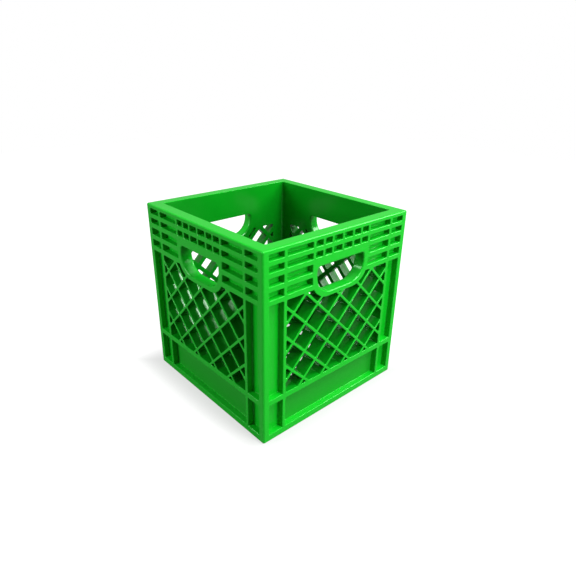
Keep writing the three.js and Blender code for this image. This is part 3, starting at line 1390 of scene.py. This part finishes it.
@dataclass
class FloorGrid:
    """The open floor of square holes inside the foot."""

    sizes: Sizes
    edges: Edges

    def shape(self) -> Mould:
        """Shapes the floor, facing up with its top at level zero.

        Returns:
            The mould, in millimetres.
        """
        s = self.sizes
        plate = Mould()
        drawn = plate.outline(Span.square(s.inner_half).corners)
        corner = s.inner_corner_round + s.floor_corner_play
        plate.round_corners(drawn.verts[:], corner, self.edges.inner_corner_steps)
        plate.step(0.0, s.floor_thickness)
        plate.open_cuts()
        plate.absorb(self._holes())
        plate.close(0.0)
        plate.close(-s.floor_thickness)
        return plate

    def _holes(self) -> Mould:
        """The square holes, with rounded edges above and below.

        Returns:
            The mould.
        """
        s, e = self.sizes, self.edges
        holes = Mould()
        reach = s.inner_half - s.floor_edge + s.floor_bar / 2
        bmesh.ops.create_grid(
            holes.mesh, x_segments=s.floor_cells, y_segments=s.floor_cells, size=reach
        )
        holes.cuts = holes.mesh.faces[:]
        bars = set(holes.step(s.floor_bar / 2 - e.floor, 0.0))
        holes.drop(lambda face: face in bars)
        holes.round_edge(e.floor, e.floor, e.steps, at_mouth=True)
        holes.step(0.0, s.floor_thickness / 2 - e.floor)
        holes.open_cuts()
        holes.mirror_in_depth(-s.floor_thickness / 2)
        return holes


@dataclass
class Crate:
    """The whole crate: it has each sub-assembly shaped once and set round the four sides."""

    sizes: Sizes
    edges: Edges
    dresser: Dresser

    def build(self) -> None:
        """Builds and dresses every piece."""
        self._walls()
        self._columns()
        self._rings()
        self._floor()

    def _walls(self) -> None:
        """Dresses the four walls."""
        wall = Wall(self.sizes, self.edges)
        middle_regions = ("hand_grip", "left_shoulder", "right_shoulder", "lattice")
        parts = (
            (wall.vent_band(), "vents", ("vent_band",)),
            (wall.middle(), "grip_and_lattice", middle_regions),
            (wall.lower_panel(), "panel", ("lower_panel",)),
        )
        for side in Side:
            place = in_crate(side) @ front_wall(self.sizes)
            for mould, name, regions in parts:
                stands_for = [f"{side.word}_{region}" for region in regions]
                self.dresser.dress(mould, f"{side.word}_{name}", place, stands_for)

    def _columns(self) -> None:
        """Dresses the four corner columns."""
        column = CornerColumn(self.sizes, self.edges).shape()
        for corner in Corner:
            stands_for = [f"{corner.word}_corner_column"]
            self.dresser.dress(column, f"{corner.word}_post", in_crate(corner), stands_for)

    def _rings(self) -> None:
        """Dresses the rim and the foot."""
        s, e = self.sizes, self.edges
        rim = SquareRing(s, e, s.height - s.rim_seam, e.rim, e.rim_spread, e.rim_inner).shape()
        up = Matrix.Translation((0, 0, s.rim_seam))
        self.dresser.dress(rim, "top_rim", in_crate() @ up, ["rim"])
        foot = SquareRing(s, e, s.base_seam, e.foot, e.foot, e.foot).shape()
        down = Matrix.Translation((0, 0, s.base_seam)) @ Matrix.Scale(-1, 4, Vector((0, 0, 1)))
        self.dresser.dress(foot, "base_ring", in_crate() @ down, ["foot"])

    def _floor(self) -> None:
        """Dresses the floor."""
        s = self.sizes
        shape = FloorGrid(s, self.edges).shape()
        up = Matrix.Translation((0, 0, s.floor_lift + s.floor_thickness))
        self.dresser.dress(shape, "floor_grille", in_crate() @ up, ["floor_grid"])


@dataclass(frozen=True)
class Lamp:
    """A square soft lamp that faces a point, in metres and watts."""

    name: str
    place: Triple
    aim: Triple
    width: float
    power: float

    def hang(self) -> None:
        """Puts the lamp in the scene."""
        light = bpy.data.lights.new(self.name, "AREA")
        light.shape = "SQUARE"
        light.size = self.width
        light.energy = self.power
        lamp = put_in_scene(self.name, light)
        lamp.location = self.place
        direction = Vector(self.aim) - Vector(self.place)
        lamp.rotation_euler = direction.to_track_quat("-Z", "Y").to_euler()


@dataclass
class Studio:
    """The pale floor, the soft lamps and the camera of the photograph.

    Lengths are in metres, but in millimetres for the camera's film and in pixels for its
    pictures. Angles are in degrees.
    """

    azimuth: float = 47.540
    pitch: float = 24.779
    roll: float = 0.995
    focal_pixels: float = 488.22
    picture_pixels: float = 576.0
    film_width: float = 36.0
    nearest: float = 0.01
    camera_place: Triple = (0.6440, -0.5556, 0.5673)
    lamps: tuple[Lamp, ...] = (
        Lamp("overhead_softbox", (0.0, 0.0, 1.8), (0, 0, 0.2), 1.4, 11.0),
        Lamp("high_right_softbox", (0.85, 0.18, 2.1), (0, 0, 0.2), 0.7, 33.0),
        Lamp("rear_right_softbox", (1.0, 1.5, 1.5), (0, 0, 0.2), 0.9, 34.0),
        Lamp("right_key_softbox", (2.0, 0.35, 1.6), (0, 0, 0.2), 0.7, 28.0),
        Lamp("low_right_softbox", (2.2, 0.45, 0.7), (0, 0, 0.15), 0.7, 25.0),
        Lamp("left_fill_softbox", (-0.9, -2.1, 0.9), (0, 0, 0.15), 0.9, 41.0),
    )
    world_levels: Pair = (0.02, 0.35)
    floor_reach: float = 3.0
    floor_gap: float = 0.0002
    floor_colour: Triple = (0.18, 0.18, 0.18)
    floor_roughness: float = 0.9
    floor_specular: float = 0.1
    painted_shadow_reach: Pair = (0.165, 0.235)
    painted_shadow_level: float = 0.64

    def set_up(self) -> None:
        """Builds the whole studio."""
        self._floor()
        self._world()
        self._camera()
        for lamp in self.lamps:
            lamp.hang()
        bpy.context.scene.view_settings.view_transform = "Standard"

    def _floor(self) -> None:
        """Lays the pale floor."""
        ground = bmesh.new()
        bmesh.ops.create_grid(ground, x_segments=1, y_segments=1, size=self.floor_reach)
        data = bpy.data.meshes.new("studio_floor")
        ground.to_mesh(data)
        ground.free()
        data.materials.append(self._floor_finish())
        floor = put_in_scene("studio_floor", data)
        floor.location = (0, 0, -self.floor_gap)

    def _floor_finish(self) -> Material:
        """The floor's finish: matte and pale, white to the camera away from the crate, with a
        painted shadow where that glow fades close to it.

        Returns:
            The material, which reads Object coordinates.
        """
        material = bpy.data.materials.new("studio_floor")
        nodes = Nodes(material)
        outer, _ = nodes.from_middle(nodes.place())
        # Painted shadow: the camera-only glow fades close to the crate.
        glow_with_painted_shadow = nodes.ramp(outer, (self.painted_shadow_level, 1.0), self.painted_shadow_reach, "SMOOTHSTEP")
        seen = nodes.add("LightPath").outputs["Is Camera Ray"]
        nodes.feed(nodes.tree.nodes["Principled BSDF"], {
            "Base Color": (*self.floor_colour, 1.0),
            "Roughness": self.floor_roughness,
            "Specular IOR Level": self.floor_specular,
            "Emission Color": WHITE,
            "Emission Strength": nodes.calculate("MULTIPLY", seen, glow_with_painted_shadow),
        })
        return material

    def _world(self) -> None:
        """Sets a plain world: white to the camera, soft grey in reflections, faint otherwise."""
        world = bpy.data.worlds.new("studio")
        bpy.context.scene.world = world
        nodes = Nodes(world)
        path = nodes.add("LightPath").outputs
        mirrored = nodes.ramp(path["Is Glossy Ray"], self.world_levels)
        level = nodes.ramp(path["Is Camera Ray"], (mirrored, 1.0))
        nodes.feed(nodes.tree.nodes["Background"], {"Color": WHITE, "Strength": level})

    def _camera(self) -> None:
        """Puts the camera where the photograph was taken from."""
        data = bpy.data.cameras.new("photo_camera")
        data.sensor_width = self.film_width
        data.lens = self.film_width * self.focal_pixels / self.picture_pixels
        data.clip_start = self.nearest
        azimuth, pitch, roll = (math.radians(a) for a in (self.azimuth, self.pitch, self.roll))
        right = Vector((math.cos(azimuth), math.sin(azimuth), 0))
        back = Vector((
            math.sin(azimuth) * math.cos(pitch),
            -math.cos(azimuth) * math.cos(pitch),
            math.sin(pitch),
        ))
        upright = Matrix((right, back.cross(right), back)).transposed().to_4x4()
        camera = put_in_scene("photo_camera", data)
        camera.matrix_world = (
            Matrix.Translation(self.camera_place) @ upright @ Matrix.Rotation(roll, 4, "Z")
        )
        bpy.context.scene.camera = camera


def main() -> None:
    """Builds the dressed crate and its studio."""
    logging.basicConfig(level=logging.INFO, format="%(name)s: %(message)s")
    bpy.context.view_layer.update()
    Studio().set_up()
    dresser = Dresser({finish: plastic.build() for finish, plastic in PLASTICS.items()})
    Crate(Sizes(), Edges(), dresser).build()
    bpy.context.view_layer.update()
    LOG.info("%d pieces", len(dresser.made))


if __name__ == "__main__":
    main()
